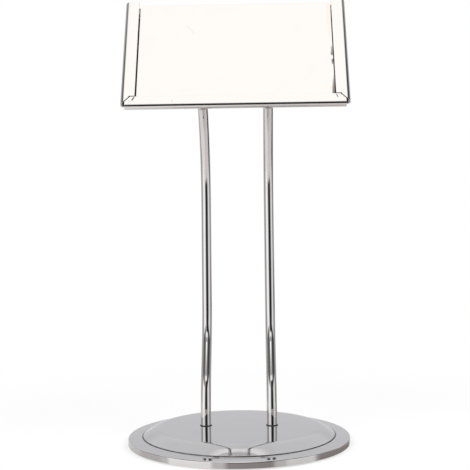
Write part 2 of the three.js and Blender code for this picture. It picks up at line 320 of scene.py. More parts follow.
class Sheet:
    """A node tree with short calls that add and join nodes."""

    def __init__(self, tree: bpy.types.NodeTree) -> None:
        """Keep the tree, emptied of its first nodes."""
        self.tree = tree
        tree.nodes.clear()

    def fill(self, socket: Socket, value: object) -> None:
        """Link an input to another socket or set its value; a colour gets full alpha.

        Args:
            socket: The input.
            value: A socket or a plain value.
        """
        if isinstance(value, Socket):
            self.tree.links.new(value, socket)
        else:
            socket.default_value = (*value, 1.0) if socket.type == "RGBA" else value

    def add(self, kind: str, inputs: dict | None = None, **settings: object) -> Node:
        """Add a node.

        Args:
            kind: Blender's type name after "ShaderNode", or a group end's whole name.
            inputs: Sockets to link or values to set, by the input's name or number.
            settings: The node's properties.

        Returns:
            The new node.
        """
        node = self.tree.nodes.new(kind if kind.startswith("NodeGroup") else "ShaderNode" + kind)
        for name, value in settings.items():
            setattr(node, name, value)
        for key, value in (inputs or {}).items():
            self.fill(node.inputs[key], value)
        return node

    def math(self, operation: str, *values: object) -> Socket:
        """Add a math node and return its result."""
        return self.add("Math", dict(enumerate(values)), operation=operation).outputs[0]

    def mix(self, factor: object, first: object, second: object) -> Socket:
        """Mix two colours by a factor and return the result."""
        return self.add("Mix", {0: factor, 6: first, 7: second}, data_type="RGBA").outputs[2]

    def spread(
        self, value: object, low: float, high: float, to_low: float, to_high: float,
    ) -> Socket:
        """Map a range of values smoothly onto another and return the result."""
        ends = dict(enumerate((value, low, high, to_low, to_high)))
        return self.add("MapRange", ends, interpolation_type="SMOOTHSTEP").outputs[0]

    def noise(self, place: object, scale: object, detail: float, **more: float) -> Socket:
        """Add a noise texture and return its strength."""
        return self.add("TexNoise", {"Vector": place, "Scale": scale, "Detail": detail, **more}).outputs[0]

    def bump(self, strength: float, depth: object, height: object) -> Node:
        """Add a bump node for a height."""
        return self.add("Bump", {"Strength": strength, "Distance": depth, "Height": height})

    def blend(self, factor: object, first: Node, second: Node) -> Node:
        """Mix two shaders by a factor."""
        return self.add("MixShader", {0: factor, 1: first.outputs[0], 2: second.outputs[0]})

    def total(self, first: Node, second: Node) -> Node:
        """Add two shaders."""
        return self.add("AddShader", {0: first.outputs[0], 1: second.outputs[0]})


@dataclass(frozen=True)
class SharedEffect:
    """A shader node group that trees place with their own values; an input without a number is a vector."""

    name: str
    inputs: dict[str, float | None]
    outputs: tuple[str, ...]
    output_kind: str = "Float"

    def start(self) -> tuple[Sheet, bpy.types.NodeOutputs, bpy.types.NodeInputs]:
        """Make the empty group with its named sockets.

        Returns:
            The group's tree, what it is given, and what it has to put out.
        """
        tree = bpy.data.node_groups.new(self.name, "ShaderNodeTree")
        for name, value in self.inputs.items():
            kind = "Vector" if value is None else "Float"
            socket = tree.interface.new_socket(name=name, in_out="INPUT", socket_type="NodeSocket" + kind)
            if value is not None:
                socket.default_value = value
        kind = "NodeSocket" + self.output_kind
        for name in self.outputs:
            tree.interface.new_socket(name=name, in_out="OUTPUT", socket_type=kind)
        sheet = Sheet(tree)
        return sheet, sheet.add("NodeGroupInput").outputs, sheet.add("NodeGroupOutput").inputs

    def place(self, sheet: Sheet, **inputs: object) -> Node:
        """Place the group in a tree; an input's spaces are written as underscores."""
        known = {key.replace("_", " "): value for key, value in inputs.items()}
        return sheet.add("Group", known, node_tree=bpy.data.node_groups[self.name])


RIPPLE = SharedEffect(
    "Sheet ripple",
    {"Vector": None, "Scale": 20.0, "Fine Scale": 400.0, "Depth": 0.00001, "Fine Depth": 0.000001},
    ("Normal",), "Vector")
HANDLING = SharedEffect(
    "Handling marks", {"Vector": None, "Smudge Scale": 60.0, "Scratch Scale": 900.0}, ("Smudge", "Scratch"))
# A soft round mask, used for real marks and for spots of painted shade and painted reflection.
STAIN_OR_LIGHT_MASK = SharedEffect(
    "Soft stain", {"Vector": None, "Centre": None, "Radius": 0.005, "Raggedness": 0.3}, ("Mask",))
GRAIN = SharedEffect(
    "Moulded grain", {"Vector": None, "Scale": 900.0, "Patch Scale": 60.0}, ("Height", "Tone"))
CARD_MASK = SharedEffect(
    "Studio card",
    dict.fromkeys((
        "Azimuth", "Elevation", "Centre Azimuth", "Centre Elevation", "Half Width", "Half Height",
        "Side Softness", "Softness"), 0.0),
    ("Mask",))


def build_shared_effects() -> None:
    """Build the node groups that the finishes and the surroundings share."""
    sheet, given, out = RIPPLE.start()
    wave = sheet.bump(1.0, given["Depth"], sheet.noise(given["Vector"], given["Scale"], 1.0, Roughness=0.4))
    both = sheet.bump(1.0, given["Fine Depth"], sheet.noise(given["Vector"], given["Fine Scale"], 3.0))
    sheet.fill(both.inputs["Normal"], wave.outputs[0])
    sheet.fill(out["Normal"], both.outputs[0])

    sheet, given, out = HANDLING.start()
    cloud = sheet.noise(given["Vector"], given["Smudge Scale"], 5.0, Roughness=0.62, Distortion=0.6)
    strokes = sheet.add("Mapping", {
        "Vector": given["Vector"], "Rotation": (0.4, 0.3, 0.8), "Scale": (1.0, 0.03, 1.0)})
    lines = sheet.noise(strokes.outputs[0], given["Scratch Scale"], 2.0)
    sheet.fill(out["Smudge"], sheet.spread(cloud, 0.5, 0.78, 0.0, 1.0))
    sheet.fill(out["Scratch"], sheet.spread(lines, 0.62, 0.72, 0.0, 1.0))

    sheet, given, out = STAIN_OR_LIGHT_MASK.start()
    away = sheet.add("VectorMath", {0: given["Vector"], 1: given["Centre"]}, operation="DISTANCE")
    edge = sheet.noise(given["Vector"], 260.0, 3.0)
    ragged = sheet.math("MULTIPLY_ADD", edge, given["Raggedness"], 0.8)
    share = sheet.math("DIVIDE", away.outputs["Value"], sheet.math("MULTIPLY", given["Radius"], ragged))
    sheet.fill(out["Mask"], sheet.spread(share, 0.35, 1.0, 1.0, 0.0))

    sheet, given, out = GRAIN.start()
    sheet.fill(out["Height"], sheet.noise(given["Vector"], given["Scale"], 6.0, Roughness=0.6))
    sheet.fill(out["Tone"], sheet.noise(given["Vector"], given["Patch Scale"], 3.0))

    sheet, given, out = CARD_MASK.start()
    masks = []
    for axis, half, soft in (
            ("Azimuth", "Half Width", "Side Softness"), ("Elevation", "Half Height", "Softness")):
        away = sheet.math("ABSOLUTE", sheet.math("SUBTRACT", given[axis], given["Centre " + axis]))
        start = sheet.math("SUBTRACT", given[half], given[soft])
        end = sheet.math("ADD", given[half], given[soft])
        masks.append(sheet.spread(away, start, end, 1.0, 0.0))
    sheet.fill(out["Mask"], sheet.math("MULTIPLY", *masks))


# Finishes


def start_material(name: str) -> tuple[Material, Sheet, Socket]:
    """Make an empty material.

    Args:
        name: The material's name.

    Returns:
        The material, its tree and the object coordinates' socket.
    """
    material = bpy.data.materials.new(name)
    material.use_nodes = True
    sheet = Sheet(material.node_tree)
    return material, sheet, sheet.add("TexCoord").outputs["Object"]


def close_tree(sheet: Sheet, shader: Node, kind: str = "OutputMaterial") -> None:
    """Join a shader to a tree's output."""
    sheet.fill(sheet.add(kind).inputs["Surface"], shader.outputs[0])


@dataclass(frozen=True)
class Stain:
    """A small mark at a place on a polished face; real marks as well as spots of painted shade and painted
    reflection use it.
    """

    centre: Place
    radius: float
    colour: Colour
    strength: float


def streak(
    start: Place, end: Place, count: int, first: float, last: float, colour: Colour, strength: float,
) -> tuple[Stain, ...]:
    """Set a row of spots, between two places and two radii, that run into one streak; used for real marks
    and for painted light.
    """
    shares = [step / (count - 1) for step in range(count)]
    return tuple(Stain(
        tuple(Vector(start).lerp(Vector(end), share)), first + (last - first) * share, colour, strength)
        for share in shares)


@dataclass(frozen=True)
class PolishedSteel:
    """Mirror-polished stainless steel with faint ripples, wipe marks and a few spots: some real marks, some
    painted shade and painted reflection.
    """

    name: str
    tone: Colour = (0.60, 0.588, 0.58)
    roughness: float = 0.035
    smudge_roughness: float = 0.05
    smudge_tone: float = 0.95
    ripple_scale: float = 22.0
    ripple_depth: float = 0.000004
    fine_depth: float = 0.0000004
    stains: tuple[Stain, ...] = ()

    def material(self) -> Material:
        """Build the material.

        Returns:
            The material.
        """
        material, sheet, place = start_material(self.name)
        marks = HANDLING.place(sheet, Vector=place).outputs
        smudged = tuple(self.smudge_tone * part for part in self.tone)
        colour = sheet.mix(marks["Smudge"], self.tone, smudged)
        # Each spot mixes in its colour: real marks, and on the frame painted shade and painted reflection.
        for stain_or_light in self.stains:
            mask = STAIN_OR_LIGHT_MASK.place(
                sheet, Vector=place, Centre=Vector(stain_or_light.centre) * MM, Radius=stain_or_light.radius * MM)
            amount = sheet.math("MULTIPLY", mask.outputs["Mask"], stain_or_light.strength)
            colour = sheet.mix(amount, colour, stain_or_light.colour)
        worn = sheet.math("MAXIMUM", marks["Smudge"], marks["Scratch"])
        rough = sheet.math("MULTIPLY_ADD", worn, self.smudge_roughness, self.roughness)
        ripple = RIPPLE.place(
            sheet, Vector=place, Scale=self.ripple_scale, Depth=self.ripple_depth,
            Fine_Depth=self.fine_depth)
        close_tree(sheet, sheet.add("BsdfPrincipled", {
            "Base Color": colour, "Metallic": 1.0, "Roughness": rough, "Normal": ripple.outputs[0]}))
        return material


@dataclass(frozen=True)
class GrainedFinish:
    """A duller face with a grain and patches, such as a sheared edge, a dressed weld or zinc plate."""

    name: str
    tone: Colour
    second_tone: Colour
    roughness: float
    grain_scale: float
    grain_depth: float
    patch_scale: float = 300.0
    metallic: float = 1.0
    smudge_scale: float = 200.0
    smudge_roughness: float = 0.12
    patch_range: Place = (0.38, 0.64, 1.0)
    bump_strength: float = 1.0

    def material(self) -> Material:
        """Build the material.

        Returns:
            The material.
        """
        material, sheet, place = start_material(self.name)
        grain = GRAIN.place(
            sheet, Vector=place, Scale=self.grain_scale, Patch_Scale=self.patch_scale).outputs
        marks = HANDLING.place(sheet, Vector=place, Smudge_Scale=self.smudge_scale).outputs
        low, high, most = self.patch_range
        patch = sheet.spread(grain["Tone"], low, high, 0.0, most)
        rough = sheet.math("MULTIPLY_ADD", marks["Smudge"], self.smudge_roughness, self.roughness)
        close_tree(sheet, sheet.add("BsdfPrincipled", {
            "Base Color": sheet.mix(patch, self.tone, self.second_tone), "Metallic": self.metallic,
            "Roughness": rough,
            "Normal": sheet.bump(self.bump_strength, self.grain_depth, grain["Height"]).outputs[0]}))
        return material


@dataclass(frozen=True)
class DarkMoulding(GrainedFinish):
    """A dark moulded plastic or rubber, with dust for its patches."""

    patch_scale: float = 60.0
    metallic: float = 0.0
    smudge_scale: float = 90.0
    smudge_roughness: float = 0.15
    patch_range: Place = (0.45, 0.7, 0.6)
    bump_strength: float = 0.8


# Painted warm reflection: the warm spots and streaks near the frame's inner edges and lower corners.
PAINTED_WARM_REFLECTION: Colour = (0.60, 0.545, 0.50)
FAINT_MARK: Colour = (0.56, 0.55, 0.54)
SPECK: Colour = (0.42, 0.40, 0.39)
# Painted shade: the dark streaks along the right lip and the dark dashes at the lower corners, where the
# lips' edges and gaps fall dark.
PAINTED_EDGE_SHADE: Colour = (0.09, 0.075, 0.07)
# The frame's spots: the warm ones are painted reflection, the dark streaks painted shade, the faint mark and
# the speck real marks.
FRAME_STEEL = PolishedSteel("Polished frame steel", smudge_roughness=0.03, smudge_tone=0.99, stains=(
    *streak((-69.2, -1.4, 237.0), (-69.5, 6.0, 255.4), 9, 3.0, 2.4, PAINTED_WARM_REFLECTION, 0.7),
    *streak((67.2, 26.6, 306.0), (67.0, 16.6, 281.4), 12, 2.8, 2.4, PAINTED_WARM_REFLECTION, 0.6),
    Stain((67.5, 0.2, 241.0), 3.4, PAINTED_WARM_REFLECTION, 0.9),
    *streak((67.8, 12.9, 272.2), (67.7, 10.5, 266.2), 10, 0.9, 1.3, PAINTED_EDGE_SHADE, 0.7),
    *streak((67.8, 8.9, 262.2), (67.8, 7.6, 259.0), 7, 1.2, 0.9, PAINTED_EDGE_SHADE, 0.7),
    *streak((67.9, 3.7, 249.4), (67.9, -1.4, 236.7), 10, 0.8, 2.3, PAINTED_EDGE_SHADE, 0.75),
    *streak((-33.6, 20.3, 290.4), (-29.6, 18.1, 285.0), 5, 1.6, 1.9, FAINT_MARK, 0.6),
    Stain((-42.8, -7.6, 232.1), 1.1, SPECK, 0.8),
    *streak((-70.2, -7.1, 233.2), (-69.1, -6.4, 235.0), 4, 1.0, 1.0, PAINTED_EDGE_SHADE, 1.0),
    *streak((69.6, -7.0, 233.5), (69.0, -6.4, 235.0), 3, 0.9, 0.9, PAINTED_EDGE_SHADE, 0.9),
    Stain((74.3, -8.2, 230.8), 2.0, PAINTED_WARM_REFLECTION, 0.8)))
STEM_STEEL = PolishedSteel("Polished stem steel", ripple_scale=60.0, ripple_depth=0.000003)
BASE_STEEL = PolishedSteel("Polished base steel", tone=(0.60, 0.592, 0.60), ripple_scale=16.0)
SHEARED_STEEL = GrainedFinish(
    "Sheared sheet edge", (0.86, 0.85, 0.84), (0.74, 0.73, 0.72), 0.50, 2600.0, 0.00003)
WELD_STEEL = GrainedFinish("Dressed weld", (0.62, 0.58, 0.56), (0.50, 0.45, 0.42), 0.22, 1500.0, 0.00005)
# Dark steel on the dome's step and the crease at its foot is painted shade that draws the step as a dark
# line.
PAINTED_STEP_SHADE_STEEL = GrainedFinish(
    "Step with painted shade", (0.25, 0.24, 0.24), (0.15, 0.14, 0.14), 0.35, 1800.0, 0.00003)
PLATED_STEEL = GrainedFinish(
    "Zinc-plated steel", (0.62, 0.63, 0.65), (0.50, 0.52, 0.56), 0.30, 2200.0, 0.00002)
CAST_IRON = GrainedFinish(
    "Rough cast iron", (0.075, 0.075, 0.08), (0.13, 0.11, 0.10), 0.62, 900.0, 0.00025, 90.0, 0.6)
RING_NYLON = DarkMoulding(
    "Moulded nylon", (0.035, 0.035, 0.036), (0.06, 0.058, 0.055), 0.42, 1800.0, 0.00002)
PAD_RUBBER = DarkMoulding("Pad rubber", (0.045, 0.045, 0.046), (0.11, 0.105, 0.10), 0.80, 1400.0, 0.00006)


def dress(piece: Piece, *finishes: PolishedSteel | GrainedFinish) -> None:
    """Give a new piece its finishes, in the order of its faces' material numbers.

    Args:
        piece: The piece.
        finishes: One or more finishes.
    """
    piece.data.materials.clear()
    for finish in finishes:
        piece.data.materials.append(finish.material())


def declare(piece: Piece, slot: str, *nodes: str) -> None:
    """Tie a finished piece to the frame.

    Args:
        piece: The finished piece.
        slot: The record's material slot meant for its finish; not used.
        nodes: The CAD nodes that it stands for.
    """
    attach(piece, BODY)
    if nodes:
        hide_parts(*nodes)
    faces = len(piece.data.polygons)
    log.info("%s: %d faces, stands for %s", piece.name, faces, ", ".join(nodes) or "no node")


def declare_pair(left: Piece, spacing: float, slot: str, *kinds: str) -> None:
    """Copy a left piece, with a mesh of its own, to the right, and tie both to the frame.

    Args:
        left: The finished left piece.
        spacing: Distance between the two.
        slot: The record's material slot meant for their finish; not used.
        kinds: What follows the side in the names of the CAD nodes that they stand for.
    """
    only(left)
    bpy.ops.object.duplicate(linked=False)
    right = named(left.name.replace("left", "right"))
    settle(right, 0, (spacing, 0, 0))
    for piece, side in ((left, Side.LEFT), (right, Side.RIGHT)):
        declare(piece, slot, *(f"{side.label}_{kind}" for kind in kinds))


# Pieces


@dataclass
class CardFrame:
    """One sheet folded round the card on three sides, leaning back on the stems.

    Its own axes run across, from the lips' front to the back, and up the slope from the lower fold.
    """

    width: float = 156.99
    depth: float = 5.0
    sheet: float = 1.0
    slope_height: float = 85.5
    side_lip: float = 7.3
    bottom_lip: float = 6.2
    tilt: float = 22.0
    fold_line: Point = (-8.0, 230.0)
    corner_cut: float = 0.5
    corner_steps: int = 5
    relief_height: float = 6.6
    relief_width: float = 5.8
    relief_foot: float = 0.3
    slit: float = 0.7
    top_chamfer: float = 1.5
    fold_steps: int = 24
    edge_round: float = 0.2
    edge_steps: int = 2
    sharp_angle: float = 45.0

    @property
    def axis(self) -> float:
        """Distance of a fold's axis from the frame's outside."""
        return self.depth / 2

    def build(self) -> None:
        """Build the frame in place."""
        piece = self.flat_sheet()
        with editing(piece):
            self.fold_edges(piece)
            for side in Side:
                self.open_corner(piece, side)
                self.chamfer_top(piece, side)
            tidy_mesh()
        apply_modifier(
            piece, "SOLIDIFY", thickness=self.sheet * MM, offset=0.0, use_even_offset=True,
            material_offset_rim=1)
        apply_modifier(
            piece, "BEVEL", width=self.edge_round * MM, segments=self.edge_steps, limit_method="ANGLE",
            angle_limit=radians(self.sharp_angle), use_clamp_overlap=True)
        soften(piece)
        settle(piece, self.tilt, (0, *self.fold_line))
        dress(piece, FRAME_STEEL, SHEARED_STEEL)
        declare(piece, "polished_frame", "card_frame")

    def flat_sheet(self) -> Piece:
        """Add the back of the sheet between its fold lines, with its lower corners rounded.

        Returns:
            The piece so far.
        """
        bpy.ops.mesh.primitive_plane_add(
            size=MM, rotation=(pi / 2, 0, 0),
            location=Vector((0, self.depth - self.sheet / 2, self.slope_height / 2)) * MM)
        piece = named("folded_frame")
        piece.scale = (self.width - self.depth, self.slope_height, 1)
        freeze(piece)
        with editing(piece):
            select(piece, Element.POINTS, lambda place: place.z < NEAR)
            bpy.ops.mesh.bevel(offset=self.corner_cut * MM, segments=self.corner_steps, affect="VERTICES")
        return piece

    def fold_edges(self, piece: Piece) -> None:
        """Spin the two side edges and the lower edge round to the front, and extrude the lips.

        Args:
            piece: The frame in edit mode.
        """
        for side in Side:
            x = side.value * (self.width / 2 - self.axis)
            select(piece, Element.EDGES, lambda place: abs(place.x - x) < NEAR)
            spin((x, self.axis, 0), (0, 0, 1), -side.value * pi, self.fold_steps)
            extrude(x=-side.value * self.side_lip)
        select(piece, Element.EDGES, lambda place: abs(place.z) < NEAR and place.y > self.axis)
        spin((0, self.axis, 0), (1, 0, 0), -pi, self.fold_steps)
        extrude(z=self.bottom_lip)

    def open_corner(self, piece: Piece, side: Side) -> None:
        """Cut the lips' ends at a slant at a lower corner, with a narrow slit between them.

        Args:
            piece: The frame in edit mode.
            side: Which corner.
        """
        edge, sign = self.width / 2, side.value
        front = self.axis + NEAR
        lip_end = self.axis + self.side_lip

        def on_side(first: float, last: float) -> Test:
            """Test for the front of the side's fold and lip, between two distances from the frame's side."""
            return lambda place: (
                place.y < front and place.z > self.relief_foot
                and first - NEAR < edge - sign * place.x < last + NEAR)

        def on_bottom(place: Vector) -> bool:
            """Whether a point is on the front half of the bottom fold or lip."""
            return place.y < front and place.z < self.bottom_lip + NEAR

        slope = self.relief_width - self.corner_cut
        slant = self.bottom_lip + self.slit - self.axis
        cut(piece, on_side(0, lip_end), (sign * (edge - self.relief_width), 0, 0), (1, 0, 0), clear=False)
        cut(piece, on_side(0, self.relief_width),
            (sign * (edge - self.corner_cut), 0, self.corner_cut), (-sign * slope, 0, -slope))
        cut(piece, on_side(self.relief_width, lip_end), (0, 0, self.relief_height), (0, 0, -1))
        cut(piece, on_bottom,
            (sign * (edge - self.axis), 0, self.axis - self.slit), (sign * slant, 0, slant))

    def chamfer_top(self, piece: Piece, side: Side) -> None:
        """Cut the outer upper corner of a side fold at a slant."""
        corner = (side.value * self.width / 2, 0, self.slope_height - self.top_chamfer)
        cut(piece, lambda place: side.value * place.x > 0, corner, (side.value, 0, 1))


@dataclass
class Bend:
    """A path's rounded corner, as depth and height, tighter where there is no room for the wanted radius."""

    before: Vector
    corner: Vector
    after: Vector
    wanted: float

    def __post_init__(self) -> None:
        """Find the bend's start, its end, its centre and how far it turns."""
        back, ahead = self.before - self.corner, self.after - self.corner
        half = back.angle(ahead) / 2
        radius = min(self.wanted, min(back.length, ahead.length) * tan(half))
        reach = radius / tan(half)
        self.start = self.corner + back.normalized() * reach
        self.end = self.corner + ahead.normalized() * reach
        inward = (back.normalized() + ahead.normalized()).normalized()
        self.centre = self.corner + inward * radius / sin(half)
        first, last = self.start - self.centre, self.end - self.centre
        self.turn = atan2(first.x * last.y - first.y * last.x, first.dot(last))


@dataclass
class Stem:
    """A bent round bar from the base up to the frame's back, bored at its foot for the screw."""

    card_frame: CardFrame
    foot_height: float
    diameter: float = 7.0
    spacing: float = 45.0
    seat_above_fold: float = 4.5
    foot_bend_height: float = 32.0
    upright_start: Point = (25.0, 76.0)
    upright_end: Point = (31.5, 202.5)
    bend_radii: Place = (55.0, 60.0, 95.0)
    degrees_per_step: float = 1.6
    fewest_steps: int = 8
    sides: int = 56
    bore_radius: float = 2.3
    bore_depth: float = 9.3
    foot_round: float = 0.2
    foot_round_steps: int = 4

    def __post_init__(self) -> None:
        """Find where the left stem stands, the frame's back face and where the centre line meets it."""
        lean = radians(self.card_frame.tilt)
        depth, up = self.card_frame.depth, self.seat_above_fold
        y, z = self.card_frame.fold_line
        self.x = -self.spacing / 2
        self.back_normal = Vector((cos(lean), -sin(lean)))
        self.seat = Vector((
            y + depth * cos(lean) + up * sin(lean), z - depth * sin(lean) + up * cos(lean)))

    def bends(self) -> list[Bend]:
        """The three rounded corners of the centre line, from the foot up.

        Returns:
            The bends.
        """
        corners = [
            Vector((0, self.foot_height)), Vector((0, self.foot_bend_height)),
            Vector(self.upright_start), Vector(self.upright_end), self.seat]
        return [Bend(*corners[i:i + 3], radius) for i, radius in enumerate(self.bend_radii)]

    def build(self) -> None:
        """Build both stems in place."""
        left = open_ring("left_bent_stem", self.sides, self.diameter / 2, (self.x, 0, self.foot_height))
        with editing(left):
            self.sweep()
            self.trim_at_frame()
            self.bore_foot(left)
            tidy_mesh()
        soften(left)
        dress(left, STEM_STEEL)
        declare_pair(left, self.spacing, "polished_stems", "stem")

    def sweep(self) -> None:
        """Sweep the bar's ring along the centre line, to a diameter past the frame's back."""
        end = Vector((0, self.foot_height))
        for bend in self.bends():
            run = bend.start - end
            extrude(y=run.x, z=run.y)
            steps = max(self.fewest_steps, round(abs(degrees(bend.turn)) / self.degrees_per_step))
            spin((self.x, *bend.centre), (1, 0, 0), bend.turn, steps)
            end = bend.end
        past = self.end_direction() * -self.diameter
        extrude(y=past.x, z=past.y)

    def end_direction(self) -> Vector:
        """The centre line's direction at the seat, away from the frame.

        Returns:
            A unit vector, as depth and height.
        """
        last = self.bends()[-1]
        along = (last.end - last.centre).orthogonal().normalized()
        return along if along.dot(self.back_normal) > 0 else -along

    def trim_at_frame(self) -> None:
        """Cut the bar off at the frame's back face and close its end."""
        bpy.ops.mesh.select_all(action="SELECT")
        bpy.ops.mesh.bisect(
            plane_co=Vector((self.x, *self.seat)) * MM, plane_no=(0, *self.back_normal),
            clear_inner=True, use_fill=True)

    def bore_foot(self, piece: Piece) -> None:
        """Close the foot, sink the screw's hole into it and round its edge.

        Args:
            piece: The bar in edit mode.
        """
        radius = self.diameter / 2

        def at_foot(place: Vector) -> bool:
            """Whether a point is level with the foot."""
            return abs(place.z - self.foot_height) < NEAR

        def on_rim(place: Vector) -> bool:
            """Whether a point is on the foot's outer edge."""
            return at_foot(place) and hypot(place.x - self.x, place.y) > radius - 10 * NEAR

        select(piece, Element.EDGES, at_foot)
        bpy.ops.mesh.edge_face_add()
        bpy.ops.mesh.inset(thickness=(radius - self.bore_radius) * MM)
        extrude(z=self.bore_depth)
        select(piece, Element.EDGES, on_rim)
        bpy.ops.mesh.bevel(offset=self.foot_round * MM, segments=self.foot_round_steps, affect="EDGES")


@dataclass
class StemWeld:
    """The dressed weld between a stem and the frame's back, flaring onto the sheet."""

    stem: Stem
    flare: float = 3.1
    buried: float = 0.7
    gap: float = 0.03
    sides: int = 48
    steps: int = 8

    def rings(self) -> list[Point]:
        """The weld's rings, from the buried one up.

        Returns:
            Each ring's height over the frame's back face, and its radius.
        """
        bar = self.stem.diameter / 2
        turns = [radians(90 * i / self.steps) for i in range(self.steps + 1)]
        return [(-self.buried, bar + self.flare)] + [
            (self.flare * (1 - cos(turn)), bar + self.gap + self.flare * (1 - sin(turn)))
            for turn in turns]

    def build(self) -> None:
        """Build both welds in place, upright first and then leant back with the frame."""
        card_frame, normal = self.stem.card_frame, self.stem.back_normal
        along = self.stem.end_direction()
        rise = along.dot(normal)
        shift = along.dot(Vector((-normal.y, normal.x))) / rise

        def centre(height: float) -> Place:
            """Where the bar's axis passes at a height over the frame's back face."""
            return self.stem.x, card_frame.depth + height, self.stem.seat_above_fold + shift * height

        rings = self.rings()
        height, radius = rings[0]
        bpy.ops.mesh.primitive_circle_add(
            vertices=self.sides, radius=radius * MM, fill_type="NGON", rotation=(pi / 2, 0, 0),
            location=Vector(centre(height)) * MM)
        left = named("left_stem_weld")
        left.scale = (1, 1 / rise, 1)
        freeze(left)
        with editing(left):
            for next_height, next_radius in rings[1:]:
                extrude(y=next_height - height, z=shift * (next_height - height))
                factor = next_radius / radius
                scale_selected((factor, 1, factor), centre(next_height))
                height, radius = next_height, next_radius
            tidy_mesh()
        soften(left)
        settle(left, card_frame.tilt, (0, *card_frame.fold_line))
        dress(left, WELD_STEEL)
        declare_pair(left, self.stem.spacing, "polished_stems")


@dataclass
class BaseShell:
    """A pressed sheet: a flat-crowned dome, a narrow flange, a rounded shoulder and a skirt."""

    diameter: float = 150.0
    sheet: float = 1.0
    rim_height: float = 5.0
    flange_fall: float = 0.4
    shoulder_radius: float = 1.0
    shoulder_start: float = 87.0
    shoulder_steps: int = 10
    skirt_bottom: float = 0.6
    dome_radius: float = 64.8
    dome_step: float = 0.7
    foot_radius: float = 64.95
    inner_foot_radius: float = 64.05
    flank_width: float = 5.0
    flank_angle: float = 29.2
    flank_end_angle: float = 30.6
    flank_step: float = 1.0
    flank_steps: int = 3
    bend_radius: float = 15.0
    bend_steps: int = 12
    crown_radius: float = 6500.0
    crown_points: tuple[float, ...] = (2.0, 10.0, 20.0, 30.0, 40.0, 48.0)
    edge_round: float = 0.4
    edge_end_slope: float = 86.0
    edge_steps: int = 8
    crease_depth: float = 0.25
    crease_width: float = 0.75
    crease_shares: tuple[Point, ...] = ((0.04, 0.7), (0.2, 1.0), (0.5, 0.92), (0.8, 0.45), (1.0, 0.0))
    crease_start: float = 64.862
    segments: int = 176
    stem_holes: Point = (-22.5, 22.5)
    hole_radius: float = 2.3
    drill_length: float = 6.0
    drill_sides: int = 32

    def __post_init__(self) -> None:
        """Find where the flank and the bend start, and the slightly hollow flank's radius."""
        first, last = sin(radians(self.flank_angle)), sin(radians(self.flank_end_angle))
        steepest, share = self.bend_radius * first, self.bend_radius / self.crown_radius
        self.flank_start = self.dome_radius - self.flank_width
        self.bend_start = (self.flank_start - steepest) / (1 - share)
        self.flank_radius = self.flank_width / (last - first)

    def slope(self, radius: float) -> float:
        """Slope of the dome.

        Args:
            radius: Distance from the axis.

        Returns:
            The angle in radians, falling outwards.
        """
        if radius <= self.bend_start:
            return asin(radius / self.crown_radius)
        curve = self.flank_radius if radius >= self.flank_start else self.bend_radius
        return asin(sin(radians(self.flank_angle)) + (radius - self.flank_start) / curve)

    def height(self, radius: float) -> float:
        """Height of the dome's outer face, added up over its three arcs from the edge in.

        Args:
            radius: Distance from the axis.

        Returns:
            The height.
        """
        total = self.rim_height + self.dome_step
        for start, end, curve in (
                (self.flank_start, self.dome_radius, self.flank_radius),
                (self.bend_start, self.flank_start, self.bend_radius),
                (0.0, self.bend_start, self.crown_radius)):
            within = min(max(radius, start), end)
            total += curve * (cos(self.slope(within)) - cos(self.slope(end)))
        return total

    def dome_line(self, end: float, offset: float) -> list[Point]:
        """Points of the dome at an offset square to its face, from near the axis out to a radius.

        Args:
            end: The outer radius, on the flank.
            offset: Distance under the face.

        Returns:
            The points, as radius and height.
        """
        bend = (self.flank_start - self.bend_start) / self.bend_steps
        line = []
        for radius in [
                *self.crown_points, *(self.bend_start + bend * i for i in range(self.bend_steps + 1)),
                *(self.flank_start + self.flank_step * i for i in range(1, self.flank_steps + 1)), end]:
            slope = self.slope(radius)
            line.append((radius - offset * sin(slope), self.height(radius) - offset * cos(slope)))
        return line

    def profile(self) -> list[Point]:
        """The shell's whole section, from the crown over the rim and back under the crown.

        Returns:
            Its points, as radius and height.
        """
        thick, r, outside = self.sheet, self.shoulder_radius, self.diameter / 2
        rim, outer_rim = self.rim_height + self.flange_fall / 2, self.rim_height - self.flange_fall / 2
        flank = radians(self.flank_end_angle)
        centre = self.foot_radius - self.edge_round * sin(radians(self.edge_end_slope))
        start = centre + self.edge_round * sin(flank)
        edge = (centre, self.height(start) - self.edge_round * cos(flank))
        return [
            *self.dome_line(start, 0)[:-1],
            *arc(edge, self.edge_round, 90 - self.flank_end_angle, 90 - self.edge_end_slope,
                 self.edge_steps),
            *((self.foot_radius + self.crease_width * across, rim - self.crease_depth * down)
              for across, down in self.crease_shares),
            *arc((outside - r, outer_rim - r), r, self.shoulder_start, 0, self.shoulder_steps),
            (outside, self.skirt_bottom),
            (outside - thick, self.skirt_bottom),
            (outside - thick, outer_rim - thick),
            (self.inner_foot_radius, self.rim_height - thick),
            *reversed(self.dome_line(self.dome_radius, thick)),
        ]

    def build(self) -> None:
        """Build the shell in place."""
        piece = turned_piece("pressed_base", self.profile(), self.segments)
        for x in self.stem_holes:
            self.drill(piece, x)
        soften(piece)
        dress(piece, BASE_STEEL, PAINTED_STEP_SHADE_STEEL)
        self.mark_crease(piece)
        declare(piece, "polished_base", "base_shell")

    def mark_crease(self, piece: Piece) -> None:
        """Give the step's steep face and the crease at its foot a dark steel, painted shade that draws the
        step as a dark line.

        Args:
            piece: The shell.
        """
        end = self.foot_radius + self.crease_width + NEAR
        for face in piece.data.polygons:
            place = face.center / MM
            outer_face = place.z > self.rim_height - self.sheet / 2
            if outer_face and self.crease_start < hypot(place.x, place.y) < end:
                face.material_index = 1

    def drill(self, piece: Piece, x: float) -> None:
        """Cut a screw's clearance hole through the dome at x.

        Args:
            piece: The shell.
            x: Where the hole is.
        """
        bpy.ops.mesh.primitive_cylinder_add(
            vertices=self.drill_sides, radius=self.hole_radius * MM, depth=self.drill_length * MM,
            location=Vector((x, 0, self.height(abs(x)))) * MM)
        drill = named("drill")
        apply_modifier(piece, "BOOLEAN", object=drill, operation="DIFFERENCE", solver="EXACT")
        only(drill)
        bpy.ops.object.delete()


